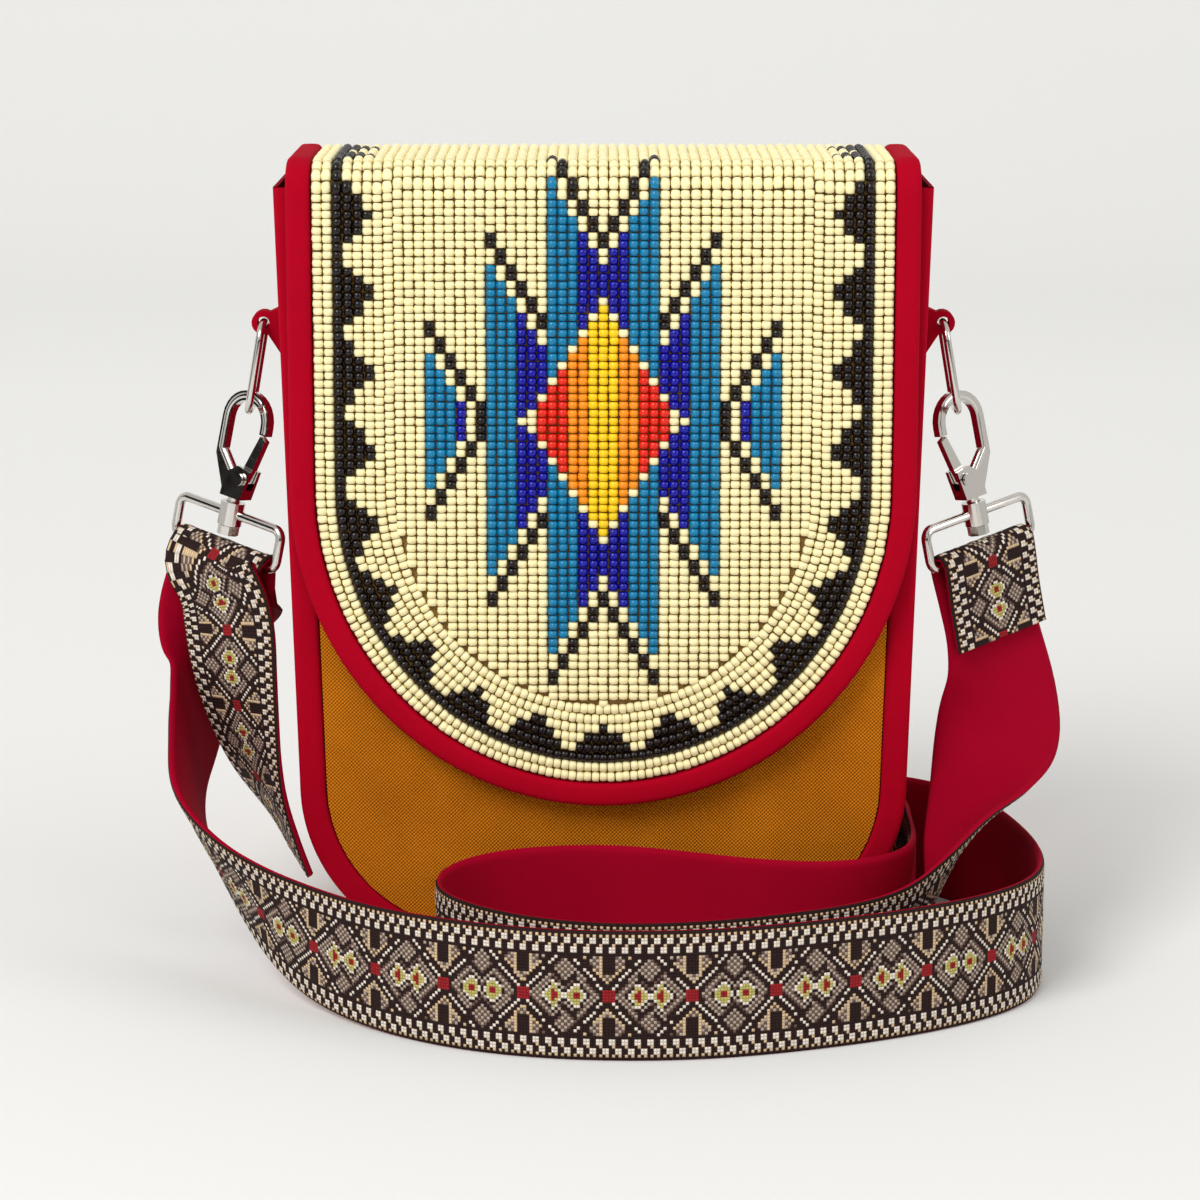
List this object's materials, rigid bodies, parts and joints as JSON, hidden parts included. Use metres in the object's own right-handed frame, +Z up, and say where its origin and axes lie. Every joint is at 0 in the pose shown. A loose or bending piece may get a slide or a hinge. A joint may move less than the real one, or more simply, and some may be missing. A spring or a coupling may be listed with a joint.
{
  "type": "beaded crossbody bag",
  "caption": "Canvas crossbody bag with a rounded beaded flap, red bindings, swivel clasps on side rings and a long woven strap coiled on the floor.",
  "frame": {"origin": "middle of the bag's flat base, on the floor", "axes": "+X to the bag's right as seen from the front, -Y out of its front, +Z up"},
  "size_m": [0.2807, 0.179, 0.2459],
  "materials": {
    "ochre_canvas": "coarse woven cotton canvas",
    "red_binding": "smooth binding cloth",
    "red_gusset": "cotton canvas",
    "red_lining": "plain lining cloth",
    "cream_beads": "glossy opaque seed beads",
    "dark_beads": "glossy opaque seed beads",
    "yellow_beads": "glossy opaque seed beads",
    "orange_beads": "glossy opaque seed beads",
    "flame_beads": "glossy opaque seed beads",
    "cobalt_beads": "glossy opaque seed beads",
    "teal_beads": "glossy opaque seed beads",
    "nickel": "polished nickel plate",
    "woven_strap": "figured jacquard webbing, red cloth backing"
  },
  "bodies": {
    "bag": {"back_binding": "red_binding", "back_panel": "ochre_canvas", "cobalt_centre": "cobalt_beads", "cobalt_centre_low": "cobalt_beads", "cobalt_dash": "cobalt_beads", "cobalt_dash_left": "cobalt_beads", "cobalt_side": "cobalt_beads", "cobalt_side_left": "cobalt_beads", "cobalt_side_low": "cobalt_beads", "cobalt_side_low_left": "cobalt_beads", "cream_bead_field": "cream_beads", "cream_bead_rim": "cream_beads", "dark_bead_border": "dark_beads", "flame_diamond": "flame_beads", "flame_diamond_left": "flame_beads", "flap_binding": "red_binding", "flap_lining": "red_lining", "flap_panel": "ochre_canvas", "front_binding": "red_binding", "front_panel": "ochre_canvas", "gusset": "red_gusset", "orange_diamond": "orange_beads", "orange_diamond_left": "orange_beads", "pouch_lining": "red_lining", "ring_tab_left": "red_binding", "ring_tab_right": "red_binding", "snap_cap": "nickel", "snap_plate": "nickel", "strap": "woven_strap", "strap_loop_left": "nickel", "strap_loop_right": "nickel", "teal_inner": "teal_beads", "teal_inner_left": "teal_beads", "teal_inner_low": "teal_beads", "teal_inner_low_left": "teal_beads", "teal_middle": "teal_beads", "teal_middle_left": "teal_beads", "teal_outer": "teal_beads", "teal_outer_left": "teal_beads", "yellow_diamond": "yellow_beads"},
    "side_ring_left": {"side_ring_left": "nickel"},
    "clasp_hook_left": {"clasp_hook_left": "nickel", "swivel_pin_left": "nickel", "gate_rivet_left": "nickel"},
    "clasp_gate_left": {"clasp_gate_left": "nickel"},
    "side_ring_right": {"side_ring_right": "nickel"},
    "clasp_hook_right": {"clasp_hook_right": "nickel", "swivel_pin_right": "nickel", "gate_rivet_right": "nickel"},
    "clasp_gate_right": {"clasp_gate_right": "nickel"}
  },
  "joints": [
    {"name": "side_ring_left_swing", "type": "hinge", "parent": "bag", "child": "side_ring_left", "pos_m": [-0.103, -0.008, 0.1945], "axis": [0, 1, 0], "range_deg": [-2.5, 2.5]},
    {"name": "clasp_hook_left_swivel", "type": "hinge", "parent": "bag", "child": "clasp_hook_left", "pos_m": [-0.1142, -0.008, 0.1354], "axis": [0.1977, 0, 0.9803], "range_deg": [-8, 8]},
    {"name": "clasp_gate_left_open", "type": "hinge", "parent": "clasp_hook_left", "child": "clasp_gate_left", "pos_m": [-0.10944, -0.00997, 0.14627], "axis": [-0.6035, -0.788, 0.1217], "range_deg": [0, 25], "stiffness_Nm_per_rad": 0.004, "springref_deg": -5.73},
    {"name": "side_ring_right_swing", "type": "hinge", "parent": "bag", "child": "side_ring_right", "pos_m": [0.103, -0.008, 0.1945], "axis": [0, 1, 0], "range_deg": [-2.5, 2.5]},
    {"name": "clasp_hook_right_swivel", "type": "hinge", "parent": "bag", "child": "clasp_hook_right", "pos_m": [0.1142, -0.008, 0.1354], "axis": [0.1977, 0, -0.9803], "range_deg": [-8, 8]},
    {"name": "clasp_gate_right_open", "type": "hinge", "parent": "clasp_hook_right", "child": "clasp_gate_right", "pos_m": [0.10944, -0.00997, 0.14627], "axis": [-0.6035, 0.788, -0.1217], "range_deg": [0, 25], "stiffness_Nm_per_rad": 0.004, "springref_deg": -5.73}
  ]
}
